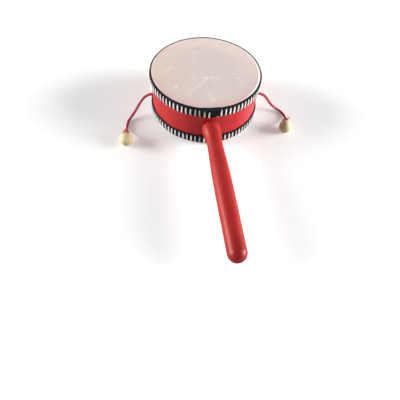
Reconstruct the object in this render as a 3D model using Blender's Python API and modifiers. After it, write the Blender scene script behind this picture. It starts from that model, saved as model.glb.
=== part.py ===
"""Double-sided hand drum: a painted hoop with two skins, two braided tapes, a turned
handle, and two beads on cords. It lies on its lower skin, with the handle along -Y."""

import math

import bmesh
import bpy
from mathutils import Vector

# Driving dimensions, in metres and degrees
HEAD_DIAMETER = 0.100
JOINT_GAP = 0.0003

SKIN_THICKNESS = 0.0008
SKIN_FOLD_RADIUS = 0.0006
SKIN_SHORT_OF_TAPE = 0.0006
HOOP_WALL = 0.005
HOOP_BESIDE_HANDLE = 0.00275

TAPE_WIDTH = 0.0096
TAPE_THICKNESS = 0.0007
TAPE_BELOW_TOP_HEAD = 0.0003
TAPE_ABOVE_BOTTOM_HEAD = 0.0013
TAPE_BORDER_WIDTH = 0.0019
TAPE_BORDER_HEIGHT = 0.0005
TAPE_BAR_HEIGHT = 0.0004
TAPE_BAR_PITCH = 0.00396
TAPE_LAP_BARS = 4
TOP_LAP_TURN = -2.4
BOTTOM_LAP_TURN = -0.6

TENON_DIAMETER = 0.008
HANDLE_LENGTH = 0.1291
NOSE_LEDGE = 0.0019
NOSE_LENGTH = 0.004
SHOULDER_DIAMETER = 0.0157
NECK_DIAMETER = 0.0130
NECK_LENGTH = 0.021
GRIP_DIAMETER = 0.0148
GRIP_SWELL_LENGTH = 0.026

CORD_DIAMETER = 0.0026
BEAD_DIAMETER = 0.012
CORD_IN_BEAD = 0.009

# Facets round each kind of piece
HEAD_STEPS = 64
HANDLE_STEPS = 24
BEAD_STEPS = 16
CORD_HOLE_STEPS = 12
CORD_SPACING = 1.5 * CORD_DIAMETER

# Sizes that follow from the driving dimensions
TAPE_BOTTOM_START = TAPE_ABOVE_BOTTOM_HEAD
TAPE_TOP_START = TAPE_ABOVE_BOTTOM_HEAD + TAPE_WIDTH + SHOULDER_DIAMETER + 2 * HOOP_BESIDE_HANDLE
DRUM_DEPTH = TAPE_TOP_START + TAPE_WIDTH + TAPE_BELOW_TOP_HEAD
HOLE_HEIGHT = (TAPE_BOTTOM_START + TAPE_WIDTH + TAPE_TOP_START) / 2
SKIN_RADIUS = HEAD_DIAMETER / 2
SKIN_LAP = TAPE_WIDTH - SKIN_SHORT_OF_TAPE
HOOP_RADIUS = SKIN_RADIUS - SKIN_THICKNESS - JOINT_GAP
HOOP_BOTTOM = SKIN_THICKNESS + JOINT_GAP
HOOP_TOP = DRUM_DEPTH - HOOP_BOTTOM
HOOP_EDGE_RADIUS = SKIN_FOLD_RADIUS + JOINT_GAP
TAPE_INNER_RADIUS = SKIN_RADIUS + JOINT_GAP
TAPE_GROUND_RADIUS = TAPE_INNER_RADIUS + TAPE_THICKNESS
TAPE_BARS = round(2 * math.pi * TAPE_GROUND_RADIUS / TAPE_BAR_PITCH)
NOSE_START = HOOP_RADIUS + JOINT_GAP
HANDLE_END = HOOP_RADIUS + HANDLE_LENGTH
CORD_HOLE_DIAMETER = CORD_DIAMETER + 2 * JOINT_GAP
CORD_ON_FLOOR = 1.05 * CORD_DIAMETER / 2
BEAD_HEIGHT = BEAD_DIAMETER / 2

# How far each cord's hole is turned towards the handle from the drum's side
LEFT_HOLE_TURN = 5.5
RIGHT_HOLE_TURN = 12.0

# The cords' routes from the mouths of their holes: distance to the side, distance along the
# handle's way, share of the fall to the floor still to come, share of the rise to the bead
LEFT_ROUTE = (
    (0.0036, 0.00035, 1.00, 0.00),
    (0.0082, 0.0011, 0.90, 0.00),
    (0.0124, 0.0022, 0.66, 0.00),
    (0.0162, 0.0036, 0.38, 0.00),
    (0.0198, 0.0056, 0.15, 0.00),
    (0.0230, 0.0086, 0.03, 0.00),
    (0.0252, 0.0126, 0.00, 0.00),
    (0.0263, 0.0172, 0.00, 0.00),
    (0.0268, 0.0220, 0.00, 0.05),
    (0.0270, 0.0266, 0.00, 0.30),
    (0.0271, 0.0306, 0.00, 0.76),
)
LEFT_BEAD = (0.0271, 0.0396)
LEFT_BEAD_WAY = (0.02, 1.0)

RIGHT_ROUTE = (
    (0.0035, 0.00075, 1.000, 0.00),
    (0.0080, 0.0012, 0.890, 0.00),
    (0.0122, 0.0012, 0.640, 0.00),
    (0.0160, 0.0010, 0.390, 0.00),
    (0.0198, 0.0010, 0.180, 0.00),
    (0.0233, 0.0018, 0.055, 0.00),
    (0.0264, 0.0040, 0.006, 0.00),
    (0.0286, 0.0076, 0.000, 0.00),
    (0.0297, 0.0120, 0.000, 0.02),
    (0.0293, 0.0164, 0.000, 0.20),
    (0.0280, 0.0202, 0.000, 0.58),
    (0.0269, 0.0230, 0.000, 0.92),
)
RIGHT_BEAD = (0.0247, 0.0300)
RIGHT_BEAD_WAY = (-0.28, 1.0)

# Colour, roughness and metallic value of each finish
FINISHES = {
    "hoop": ((0.60, 0.035, 0.045), 0.35, 0.0),
    "skin": ((0.72, 0.62, 0.54), 0.55, 0.0),
    "tape": ((0.05, 0.05, 0.06), 0.85, 0.0),
    "handle": ((0.62, 0.030, 0.035), 0.28, 0.0),
    "cord": ((0.55, 0.02, 0.05), 0.80, 0.0),
    "bead": ((0.85, 0.68, 0.45), 0.60, 0.0),
}


def clear_scene():
    for obj in list(bpy.data.objects):
        bpy.data.objects.remove(obj, do_unlink=True)


def new_collection(name):
    collection = bpy.data.collections.new(name)
    bpy.context.scene.collection.children.link(collection)
    return collection


def finish_of(name, kind):
    colour, roughness, metallic = FINISHES[kind]
    material = bpy.data.materials.new(name)
    material.use_nodes = True
    shader = material.node_tree.nodes["Principled BSDF"]
    shader.inputs["Base Color"].default_value = (*colour, 1.0)
    shader.inputs["Roughness"].default_value = roughness
    shader.inputs["Metallic"].default_value = metallic
    return material


def add_object(name, data, collection, kind=None):
    obj = bpy.data.objects.new(name, data)
    collection.objects.link(obj)
    if kind:
        data.materials.append(finish_of(name, kind))
    return obj


def arc(centre_x, centre_z, radius, start, end, count):
    """Points on a round corner, from the start angle to the end angle in degrees."""
    points = []
    for i in range(count + 1):
        angle = math.radians(start + (end - start) * i / count)
        points.append((centre_x + radius * math.cos(angle), centre_z + radius * math.sin(angle)))
    return points


def turned_mesh(name, profile, closed):
    """Vertices and edges of a profile in the XZ plane, for a Screw modifier to turn."""
    mesh = bpy.data.meshes.new(name)
    count = len(profile)
    edges = [(i, i + 1) for i in range(count - 1)]
    if closed:
        edges.append((count - 1, 0))
    mesh.from_pydata([(x, 0.0, z) for x, z in profile], edges, [])
    return mesh


def turn(obj, steps):
    screw = obj.modifiers.new("turn", "SCREW")
    screw.steps = steps
    screw.render_steps = steps
    screw.use_merge_vertices = True
    screw.merge_threshold = 0.00001
    screw.use_smooth_shade = True


def boolean(obj, other, operation):
    modifier = obj.modifiers.new(other.name, "BOOLEAN")
    modifier.operation = operation
    modifier.solver = "EXACT"
    modifier.object = other


def helper(obj):
    obj.hide_render = True
    obj.display_type = "WIRE"
    return obj


def drill(name, diameter, start, end, steps, collection):
    """A plain round cutter from the start point to the end point."""
    way = Vector(end) - Vector(start)
    mesh = bpy.data.meshes.new(name)
    shape = bmesh.new()
    bmesh.ops.create_cone(
        shape,
        cap_ends=True,
        segments=steps,
        radius1=diameter / 2,
        radius2=diameter / 2,
        depth=way.length,
    )
    shape.to_mesh(mesh)
    shape.free()
    cutter = helper(add_object(name, mesh, collection))
    cutter.location = (Vector(start) + Vector(end)) / 2
    cutter.rotation_euler = way.to_track_quat("Z", "Y").to_euler()
    return cutter


def mesh_from_curve(curve_object):
    """A mesh object in place of a curve, with the caps welded to the sides."""
    graph = bpy.context.evaluated_depsgraph_get()
    mesh = bpy.data.meshes.new_from_object(curve_object.evaluated_get(graph))
    shape = bmesh.new()
    shape.from_mesh(mesh)
    bmesh.ops.remove_doubles(shape, verts=shape.verts, dist=0.000002)
    shape.to_mesh(mesh)
    shape.free()
    bpy.data.objects.remove(curve_object, do_unlink=True)
    return mesh


def skin_profile():
    """A thin flat head with its edge turned down over the hoop, from the top plane."""
    outer_radius = SKIN_FOLD_RADIUS + SKIN_THICKNESS
    corner = SKIN_RADIUS - outer_radius
    outer = arc(corner, -outer_radius, outer_radius, 90, 0, 2)
    inner = arc(corner, -outer_radius, SKIN_FOLD_RADIUS, 0, 90, 1)
    inside = SKIN_RADIUS - SKIN_THICKNESS
    end = [(SKIN_RADIUS, -SKIN_LAP), (inside, -SKIN_LAP)]
    return [(0.0, 0.0), *outer, *end, *inner, (0.0, -SKIN_THICKNESS)]


def make_skins(collection):
    mesh = turned_mesh("skin", skin_profile(), closed=False)
    top = add_object("skin_top", mesh.copy(), collection, "skin")
    top.location.z = DRUM_DEPTH
    bottom = add_object("skin_bottom", mesh, collection, "skin")
    bottom.rotation_euler.x = math.pi
    for skin in (top, bottom):
        turn(skin, HEAD_STEPS)


def hoop_profile():
    """The hoop's wall, with its outer edges rounded where the skins turn over them."""
    corner = HOOP_RADIUS - HOOP_EDGE_RADIUS
    upper = arc(corner, HOOP_TOP - HOOP_EDGE_RADIUS, HOOP_EDGE_RADIUS, 90, 0, 1)
    lower = arc(corner, HOOP_BOTTOM + HOOP_EDGE_RADIUS, HOOP_EDGE_RADIUS, 0, -90, 1)
    inside = HOOP_RADIUS - HOOP_WALL
    return [*upper, *lower, (inside, HOOP_BOTTOM), (inside, HOOP_TOP)]


def hole_place(side, turn, radius):
    """A place on the middle line of a cord's hole, at a distance from the drum's axis."""
    angle = math.radians(turn)
    return Vector((side * radius * math.cos(angle), -radius * math.sin(angle), HOLE_HEIGHT))


def make_hoop(collection, cutters):
    hoop = add_object("hoop", turned_mesh("hoop", hoop_profile(), closed=True), collection, "hoop")
    turn(hoop, HEAD_STEPS)
    reach = HOOP_RADIUS + HOOP_WALL
    front = (0.0, -reach, HOLE_HEIGHT)
    middle = (0.0, 0.0, HOLE_HEIGHT)
    bore = TENON_DIAMETER + 2 * JOINT_GAP
    boolean(hoop, drill("tenon_bore", bore, front, middle, HANDLE_STEPS, cutters), "DIFFERENCE")
    sides = (("left", -1, LEFT_HOLE_TURN), ("right", 1, RIGHT_HOLE_TURN))
    for name, side, turned in sides:
        ends = (hole_place(side, turned, HOOP_RADIUS - 2 * HOOP_WALL), hole_place(side, turned, reach))
        hole = drill("cord_hole_" + name, CORD_HOLE_DIAMETER, *ends, CORD_HOLE_STEPS, cutters)
        boolean(hoop, hole, "DIFFERENCE")


def tape_outline(places):
    """The tape's outer edge from above, raised by its thickness where its ends lap.

    The places say how the edge stands at shares of each bar's pitch: (share, rise)."""
    points = []
    for bar in range(TAPE_BARS):
        for place, rise in places:
            lapped = bar < TAPE_LAP_BARS and bar + place > 0
            radius = TAPE_GROUND_RADIUS + rise + TAPE_THICKNESS * lapped
            angle = 2 * math.pi * (bar + place - TAPE_LAP_BARS / 2) / TAPE_BARS - math.pi / 2
            points.append((radius * math.cos(angle), radius * math.sin(angle)))
    return points


def ring_mesh(name, outline, height, collection):
    """A flat ring with the given outer edge, as a filled outline with a round hole."""
    hole = [
        (TAPE_INNER_RADIUS * math.cos(2 * math.pi * i / HEAD_STEPS),
         TAPE_INNER_RADIUS * math.sin(2 * math.pi * i / HEAD_STEPS))
        for i in range(HEAD_STEPS)
    ]
    curve = bpy.data.curves.new(name, "CURVE")
    curve.dimensions = "2D"
    curve.fill_mode = "BOTH"
    curve.extrude = height / 2
    for line in (outline, hole):
        spline = curve.splines.new("POLY")
        spline.points.add(len(line) - 1)
        for point, (x, y) in zip(spline.points, line):
            point.co = (x, y, 0.0, 1.0)
        spline.use_cyclic_u = True
    return mesh_from_curve(add_object(name, curve, collection))


def make_tapes(collection, cutters):
    """Each tape is a band of low bars with a solid border along its upper edge."""
    bars = tape_outline(((0.0, 0.0), (0.28, TAPE_BAR_HEIGHT), (0.72, TAPE_BAR_HEIGHT)))
    edge = tape_outline(((0.0, TAPE_BORDER_HEIGHT),))
    band = ring_mesh("tape_bars", bars, TAPE_WIDTH - TAPE_BORDER_WIDTH / 2, cutters)
    border = ring_mesh("tape_border", edge, TAPE_BORDER_WIDTH, cutters)
    band_middle = TAPE_WIDTH / 2 - TAPE_BORDER_WIDTH / 4
    border_middle = TAPE_WIDTH - TAPE_BORDER_WIDTH / 2
    tapes = (
        ("tape_top", TAPE_TOP_START, TOP_LAP_TURN),
        ("tape_bottom", TAPE_BOTTOM_START, BOTTOM_LAP_TURN),
    )
    for name, start, lap_turn in tapes:
        tape = add_object(name, band.copy(), collection, "tape")
        rib = helper(add_object(name + "_border", border.copy(), cutters))
        tape.location.z = start + band_middle
        rib.location.z = start + border_middle
        for piece in (tape, rib):
            piece.rotation_euler.z = math.radians(lap_turn)
        boolean(tape, rib, "UNION")


def ease(share):
    """A smooth step from 0 to 1, level at both ends."""
    return (1 - math.cos(math.pi * share)) / 2


def swept_between(start, start_radius, end, end_radius, count):
    """Profile points on a smooth swell from one radius to the next, without the first."""
    points = []
    for i in range(1, count + 1):
        share = i / count
        radius = start_radius + (end_radius - start_radius) * ease(share)
        points.append((radius, start + (end - start) * share))
    return points


def handle_profile():
    """The handle from its rounded end back to the tenon, as distances from the drum's axis."""
    tenon, shoulder = TENON_DIAMETER / 2, SHOULDER_DIAMETER / 2
    nose, neck, grip = tenon + NOSE_LEDGE, NECK_DIAMETER / 2, GRIP_DIAMETER / 2
    shoulder_at = NOSE_START + NOSE_LENGTH
    neck_at = shoulder_at + NECK_LENGTH
    grip_at = neck_at + GRIP_SWELL_LENGTH
    tenon_end = HOOP_RADIUS - HOOP_WALL
    outward = [(0.0, tenon_end), (tenon, tenon_end), (tenon, NOSE_START)]
    for i in range(4):
        angle = math.pi / 2 * i / 3
        radius = nose + (shoulder - nose) * math.sin(angle)
        outward.append((radius, shoulder_at - NOSE_LENGTH * math.cos(angle)))
    outward += swept_between(shoulder_at, shoulder, neck_at, neck, 6)
    outward += swept_between(neck_at, neck, grip_at, grip, 6)
    outward += arc(0.0, HANDLE_END - grip, grip, 0, 90, 6)[:-1]
    outward.append((0.0, HANDLE_END))
    return outward[::-1]


def make_handle(collection):
    mesh = turned_mesh("handle", handle_profile(), closed=False)
    handle = add_object("handle", mesh, collection, "handle")
    handle.location.z = HOLE_HEIGHT
    handle.rotation_euler.x = math.pi / 2
    turn(handle, HANDLE_STEPS)


def smooth_route(points, spacing):
    """Points a fixed spacing apart on a smooth curve through the given ones.

    Between two points the curve is a cubic whose slopes there come from the points on
    either side, weighted by their distances, so uneven spacing makes no wobble."""
    points = [Vector(p) for p in points]
    padded = [2 * points[0] - points[1], *points, 2 * points[-1] - points[-2]]
    fine = [points[0]]
    for before, start, end, after in zip(padded, padded[1:], padded[2:], padded[3:]):
        length, length_before, length_after = (
            (end - start).length, (start - before).length, (after - end).length
        )
        leave = ((start - before) / length_before * length + (end - start) / length * length_before)
        leave *= length / (length + length_before)
        arrive = ((end - start) / length * length_after + (after - end) / length_after * length)
        arrive *= length / (length + length_after)
        for i in range(1, 21):
            t = i / 20
            fine.append(
                (2 * t**3 - 3 * t**2 + 1) * start + (t**3 - 2 * t**2 + t) * leave
                + (3 * t**2 - 2 * t**3) * end + (t**3 - t**2) * arrive
            )
    total = sum((b - a).length for a, b in zip(fine, fine[1:]))
    count = max(2, round(total / spacing))
    even, travelled, target = [fine[0]], 0.0, total / count
    for a, b in zip(fine, fine[1:]):
        step = (b - a).length
        while travelled + step >= target and len(even) < count:
            even.append(a.lerp(b, (target - travelled) / step))
            target += total / count
        travelled += step
    return [*even, fine[-1]]


def route_point(mouth, side, out, along, fall, lift):
    """A place on a cord's route from its hole's mouth, in the drum's own frame."""
    height = CORD_ON_FLOOR + fall * (HOLE_HEIGHT - CORD_ON_FLOOR)
    height += lift * (BEAD_HEIGHT - CORD_ON_FLOOR)
    return (mouth.x + side * out, mouth.y - along, height)


def make_cord(name, side, turned, route, bead_place, bead_way, collection, cutters):
    """A cord from its hole in the hoop to the blind bore of its bead, and the bead."""
    inner = hole_place(side, turned, HOOP_RADIUS - HOOP_WALL)
    mouth = hole_place(side, turned, HOOP_RADIUS)
    way = Vector((side * bead_way[0], -bead_way[1], 0.0)).normalized()
    centre = Vector((mouth.x + side * bead_place[0], mouth.y - bead_place[1], BEAD_HEIGHT))
    into_bead = centre - way * BEAD_DIAMETER / 2
    points = [inner, mouth]
    points += [route_point(mouth, side, *place) for place in route]
    points += [into_bead, into_bead + way * CORD_IN_BEAD]

    curve = bpy.data.curves.new("cord_" + name, "CURVE")
    curve.dimensions = "3D"
    curve.bevel_depth = CORD_DIAMETER / 2
    curve.bevel_resolution = 2
    curve.use_fill_caps = True
    spline = curve.splines.new("POLY")
    route_points = smooth_route(points, CORD_SPACING)
    spline.points.add(len(route_points) - 1)
    for point, place in zip(spline.points, route_points):
        point.co = (*place, 1.0)
    add_object("cord_" + name, curve, collection, "cord")

    ball = bpy.data.meshes.new("bead_" + name)
    shape = bmesh.new()
    bmesh.ops.create_uvsphere(
        shape, u_segments=BEAD_STEPS, v_segments=BEAD_STEPS // 2 + 2, radius=BEAD_DIAMETER / 2
    )
    shape.to_mesh(ball)
    shape.free()
    ball.shade_smooth()
    bead = add_object("bead_" + name, ball, collection, "bead")
    bead.location = centre
    ends = (centre - way * BEAD_DIAMETER, into_bead + way * (CORD_IN_BEAD + JOINT_GAP))
    bore = drill("bead_bore_" + name, CORD_HOLE_DIAMETER, *ends, CORD_HOLE_STEPS, cutters)
    boolean(bead, bore, "DIFFERENCE")


def main():
    clear_scene()
    drum = new_collection("double_sided_hand_drum")
    cutters = new_collection("cutters")
    make_hoop(drum, cutters)
    make_skins(drum)
    make_tapes(drum, cutters)
    make_handle(drum)
    left = (LEFT_HOLE_TURN, LEFT_ROUTE, LEFT_BEAD, LEFT_BEAD_WAY)
    right = (RIGHT_HOLE_TURN, RIGHT_ROUTE, RIGHT_BEAD, RIGHT_BEAD_WAY)
    make_cord("left", -1, *left, drum, cutters)
    make_cord("right", 1, *right, drum, cutters)


main()
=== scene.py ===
# %% [markdown]
# # A small double-sided hand drum
#
# The drum is a red painted wooden hoop with a pale skin on each side. Two black and white
# braids cover the turned edges of the skins. A turned red handle stands out from the hoop,
# and a wooden bead hangs on a cord on either side. It lies on its lower skin.
#
# The solid model of the drum is loaded first. It fixes where each piece is and how big it
# is. Every piece made below stands for one of its solids, with the fine shape and the
# finish that a plain solid lacks.

# %% Load the solid model
import math

import bmesh
import bpy
import numpy as np
from mathutils import Matrix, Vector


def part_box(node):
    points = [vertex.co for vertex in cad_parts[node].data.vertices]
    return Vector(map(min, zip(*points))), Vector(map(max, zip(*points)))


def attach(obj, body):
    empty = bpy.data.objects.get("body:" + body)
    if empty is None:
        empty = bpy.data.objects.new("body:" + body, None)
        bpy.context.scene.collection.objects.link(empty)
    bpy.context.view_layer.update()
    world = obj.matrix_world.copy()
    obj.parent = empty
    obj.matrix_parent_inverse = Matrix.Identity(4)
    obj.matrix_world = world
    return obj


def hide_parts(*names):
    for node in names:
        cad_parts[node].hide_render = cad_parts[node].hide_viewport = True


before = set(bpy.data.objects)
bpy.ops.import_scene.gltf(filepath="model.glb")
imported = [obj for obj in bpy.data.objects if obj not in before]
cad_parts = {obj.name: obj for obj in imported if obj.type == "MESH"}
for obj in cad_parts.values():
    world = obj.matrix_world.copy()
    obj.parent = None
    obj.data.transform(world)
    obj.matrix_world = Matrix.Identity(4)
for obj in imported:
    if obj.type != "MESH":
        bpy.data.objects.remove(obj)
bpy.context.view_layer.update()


# %% [markdown]
# ## The camera
#
# A camera placed by eye would make every size in the picture doubtful. This one's place and
# lens come from fitting the rims of the two skins and the outline of the handle in the
# photograph. It is 37 cm away and looks steeply down, a little from the left of the handle.
# Three unit vectors say how it is turned: what is right in the picture, what is up, and
# what is behind the camera.

# %% Camera
CAMERA_PLACE = (-0.04864, -0.27180, 0.25065)
PICTURE_RIGHT = (0.99142, -0.12235, 0.04599)
PICTURE_UP = (0.07770, 0.83459, 0.54536)
PICTURE_BACK = (-0.10512, -0.53711, 0.83694)

camera_data = bpy.data.cameras.new("photo_camera")
camera_data.lens = 32.6
camera_data.sensor_width = 36.0
camera_data.clip_start = 0.01
camera = bpy.data.objects.new("photo_camera", camera_data)
bpy.context.scene.collection.objects.link(camera)
camera.matrix_world = Matrix([
    [PICTURE_RIGHT[i], PICTURE_UP[i], PICTURE_BACK[i], CAMERA_PLACE[i]] for i in range(3)
] + [[0.0, 0.0, 0.0, 1.0]])
bpy.context.scene.camera = camera
print("camera distance from the drum's foot: %.3f m" % math.dist(CAMERA_PLACE, (0, 0, 0)))

# %% [markdown]
# ## Surfaces from grids
#
# The pieces could be cut from basic solids by hand. Here each is a surface whose points are
# a function of two numbers, worked out for a whole grid at once, because a formula says
# exactly what the shape is and is easy to change. The helper below turns such a grid into a
# mesh. A grid may close on itself in either direction, as a ring does. Where a row has all
# its points in one place, as at the end of the handle, they are merged, so the surface stays
# closed. The helper also measures the enclosed volume, and turns the faces round if it
# comes out negative.

# %% Grid helper
MM = 0.001


def grid_faces(rows, columns, rows_close, columns_close):
    """Corner numbers of the four-sided faces between neighbouring rows and columns."""
    i = np.arange(rows if rows_close else rows - 1)[:, None]
    j = np.arange(columns if columns_close else columns - 1)[None, :]
    next_i, next_j = (i + 1) % rows, (j + 1) % columns
    corners = [row * columns + column
               for row, column in ((i, j), (i, next_j), (next_i, next_j), (next_i, j))]
    return np.stack([np.broadcast_to(c, (i.size, j.size)) for c in corners], axis=-1).reshape(-1, 4)


def enclosed_volume(points, faces):
    """Sum over the faces of a sixth of the triple product of their corners."""
    a, b, c, d = (points[faces[:, k]] for k in range(4))
    return np.einsum("ij,ij->", a, np.cross(b, c) + np.cross(c, d)) / 6


def grid_mesh(name, points, rows_close=False, columns_close=False, values=None):
    """A mesh from points of shape (rows, columns, 3), or (copies, rows, columns, 3), in mm.

    The values are named numbers for each point, kept as attributes for the finishes."""
    copies = points.reshape(-1, *points.shape[-3:])
    count, rows, columns, _ = copies.shape
    faces = grid_faces(rows, columns, rows_close, columns_close)
    faces = (faces[None] + (np.arange(count) * rows * columns)[:, None, None]).reshape(-1, 4)
    flat = copies.reshape(-1, 3) * MM
    if enclosed_volume(flat, faces) < 0:
        faces = faces[:, ::-1]
    mesh = bpy.data.meshes.new(name)
    mesh.from_pydata(flat.tolist(), [], faces.tolist())
    for key, value in (values or {}).items():
        layer = mesh.attributes.new(key, "FLOAT", "POINT")
        numbers = np.broadcast_to(value, copies.shape[:3]).astype(np.float32)
        layer.data.foreach_set("value", numbers.ravel())
    return welded(mesh)


def welded(mesh):
    """The mesh with points in one place made one, and smooth shading."""
    shape = bmesh.new()
    shape.from_mesh(mesh)
    bmesh.ops.remove_doubles(shape, verts=shape.verts, dist=1e-7)
    shape.to_mesh(mesh)
    shape.free()
    mesh.shade_smooth()
    return mesh


def closed_ends(points, values):
    """The surface with a row more at either end, which is drawn together to a point.

    Those two rows take the values of the rows beside them."""
    shape = points.shape[:-1]
    ends = [np.broadcast_to(row.mean(axis=-2, keepdims=True), row.shape)
            for row in (points[..., :1, :, :], points[..., -1:, :, :])]
    pads = [(0, 0)] * (len(shape) - 2) + [(1, 1), (0, 0)]
    values = {key: np.pad(np.broadcast_to(value, shape), pads, mode="edge")
              for key, value in values.items()}
    return np.concatenate([ends[0], points, ends[1]], axis=-3), values


def add_piece(name, mesh, finish, slot, *solids):
    """Puts a finished mesh on the drum's body, in place of the solids that it stands for."""
    piece = bpy.data.objects.new(name, mesh)
    bpy.context.scene.collection.objects.link(piece)
    mesh.materials.append(finish)
    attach(piece, "root")
    if solids:
        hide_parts(*solids)
    triangles = sum(len(p.vertices) - 2 for p in mesh.polygons)
    size = [round(1000 * side, 1) for side in piece.dimensions]
    print(f"{name}: {triangles} triangles, {size} mm")
    return piece


# %% [markdown]
# More helpers are used by many pieces. A smooth curve through a few chosen values gives
# profiles, and slow uneven waves keep hand-made pieces from looking machined.

# %% Curve and wave helpers
def smooth_through(at, places, values):
    """Values at the given places on a curve through known ones.

    Between two known values it is a cubic, whose slope at each is the weighted mean of the
    slopes on either side, so that it never overshoots much."""
    places, values = np.asarray(places, float), np.asarray(values, float)
    gaps = np.diff(places)
    shape = (-1,) + (1,) * (values.ndim - 1)
    slopes = np.diff(values, axis=0) / gaps.reshape(shape)
    before, after = gaps[:-1].reshape(shape), gaps[1:].reshape(shape)
    inner = (slopes[:-1] * after + slopes[1:] * before) / (before + after)
    slopes = np.concatenate([slopes[:1], inner, slopes[-1:]])
    at = np.clip(np.asarray(at, float), places[0], places[-1])
    k = np.clip(np.searchsorted(places, at, side="right") - 1, 0, len(gaps) - 1)
    t = ((at - places[k]) / gaps[k]).reshape(at.shape + (1,) * (values.ndim - 1))
    gap = gaps[k].reshape(t.shape)
    return ((2 * t**3 - 3 * t**2 + 1) * values[k] + (t**3 - 2 * t**2 + t) * gap * slopes[k]
            + (3 * t**2 - 2 * t**3) * values[k + 1] + (t**3 - t**2) * gap * slopes[k + 1])


def step(value, low, high):
    """0 below the low value, 1 above the high one, and a smooth rise between."""
    t = np.clip((value - low) / (high - low), 0, 1)
    return t * t * (3 - 2 * t)


def once_round(count):
    """Angles evenly spaced once round a circle."""
    return np.linspace(0, 2 * math.pi, count, endpoint=False)


def slow_waves(angle, seed, slowest=2, fastest=9):
    """The sum of a few sines round the drum, each with its own phase, about -1 to 1."""
    phases = np.random.default_rng(seed).uniform(0, 2 * math.pi, fastest - slowest + 1)
    counts = np.arange(slowest, fastest + 1)
    waves = [np.sin(n * angle + phase) / n**0.5 for n, phase in zip(counts, phases)]
    return sum(waves) / len(waves)


def round_the_drum(radius, angle, height):
    """Points from a radius, an angle and a height, which may be arrays of one shape."""
    across, along = radius * np.cos(angle), radius * np.sin(angle)
    return np.stack(np.broadcast_arrays(across, along, height), axis=-1)


# %% [markdown]
# ## Sizes
#
# Every size below is in millimetres, and is given where it is first needed. They follow the
# solid model, apart from the thin materials: the hide stands little more than a third of a
# millimetre off the hoop, and each braid lies close on it.

# %% Sizes of the solid model
for node in ("skin_top", "hoop", "tape_top", "handle"):
    low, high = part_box(node)
    print(node, "is", [round(1000 * float(b - a), 1) for a, b in zip(low, high)], "mm")

# %% [markdown]
# ## Helpers for finishes
#
# A finish could be a picture wrapped round a piece, but a picture blurs close up. Here it
# is a small network of nodes. It reads the object's own coordinates, in metres, so one
# noise pattern has the same real scale on every piece. Its colour is built up as paint is,
# in coats on a ground. Relief smaller than the mesh can carry is bump, whose distance is
# its real height.

# %% Finish helpers
def new_finish(name, roughness, sockets=None):
    """A material's node tree and main shader, with constant values set on its sockets."""
    material = bpy.data.materials.new(name)
    material.use_nodes = True
    tree = material.node_tree
    shader = tree.nodes["Principled BSDF"]
    for key, value in {"Roughness": roughness, **(sockets or {})}.items():
        shader.inputs[key].default_value = value
    return material, tree, shader


def put(tree, kind, sockets=None, **settings):
    """A new node. Each socket takes either a number or another node's output."""
    node = tree.nodes.new("ShaderNode" + kind)
    for key, value in settings.items():
        setattr(node, key, value)
    for key, value in (sockets or {}).items():
        if isinstance(value, bpy.types.NodeSocket):
            tree.links.new(value, node.inputs[key])
        else:
            node.inputs[key].default_value = value
    return node


def own_coordinates(tree):
    """A place on a piece, in metres from the drum's foot, because its object stands there."""
    return put(tree, "TexCoord").outputs["Object"]


def mapped(tree, where, kind="POINT", **mapping):
    """A place scaled, turned and moved. The kind TEXTURE undoes the same steps instead."""
    sockets = {key.capitalize(): value for key, value in mapping.items()}
    return put(tree, "Mapping", {"Vector": where, **sockets}, vector_type=kind).outputs["Vector"]


def part_of(tree, where, axis):
    """How far a place is along one axis."""
    return put(tree, "SeparateXYZ", {"Vector": where}).outputs[axis]


def carried(tree, name):
    """The value of this name that the mesh carries at each point."""
    return put(tree, "Attribute", attribute_name=name).outputs["Fac"]


def noise(tree, where, scale, detail=3.0, roughness=0.5, distortion=0.0, output="Fac"):
    """An uneven pattern from 0 to 1. Its scale is about how many lumps a metre has."""
    sockets = {"Vector": where, "Scale": scale, "Detail": detail, "Roughness": roughness,
               "Distortion": distortion}
    return put(tree, "TexNoise", sockets).outputs[output]


def rescale(tree, value, low, high, to_low=0.0, to_high=1.0):
    """The value's range from low to high, carried smoothly to another range."""
    sockets = {"Value": value, "From Min": low, "From Max": high,
               "To Min": to_low, "To Max": to_high}
    return put(tree, "MapRange", sockets, interpolation_type="SMOOTHSTEP").outputs["Result"]


def calculate(tree, operation, first, second=0.0):
    """A sum, difference, product or other reckoning of one or two numbers."""
    return put(tree, "Math", {0: first, 1: second}, operation=operation).outputs["Value"]


def times(tree, first, second):
    """The product of two numbers."""
    return calculate(tree, "MULTIPLY", first, second)


def calculate_vector(tree, operation, first, second=(0.0, 0.0, 0.0)):
    """The same for places. The length is how far a place is from the middle."""
    node = put(tree, "VectorMath", {0: first, 1: second}, operation=operation)
    return node.outputs["Value" if operation == "LENGTH" else "Vector"]


def coats(tree, colour, *layers):
    """A ground colour under coats, each a share from 0 to 1 and the coat's own colour."""
    for share, coat in layers:
        under, over = (c if isinstance(c, bpy.types.NodeSocket) else (*c, 1.0)
                       for c in (colour, coat))
        colour = put(tree, "Mix", {0: share, 6: under, 7: over}, data_type="RGBA").outputs[2]
    return colour


def dress(tree, shader, colour, *relief, roughness=None):
    """Gives a shader its colour, its relief and, where it varies, its roughness.

    The relief is layers of (height from 0 to 1, real height in metres), one on another."""
    tree.links.new(colour, shader.inputs["Base Color"])
    if roughness is not None:
        tree.links.new(roughness, shader.inputs["Roughness"])
    under = {}
    for height, distance in relief:
        sockets = {"Height": height, "Distance": distance, "Strength": 1.0, **under}
        under = {"Normal": put(tree, "Bump", sockets).outputs["Normal"]}
    tree.links.new(under["Normal"], shader.inputs["Normal"])


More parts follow.
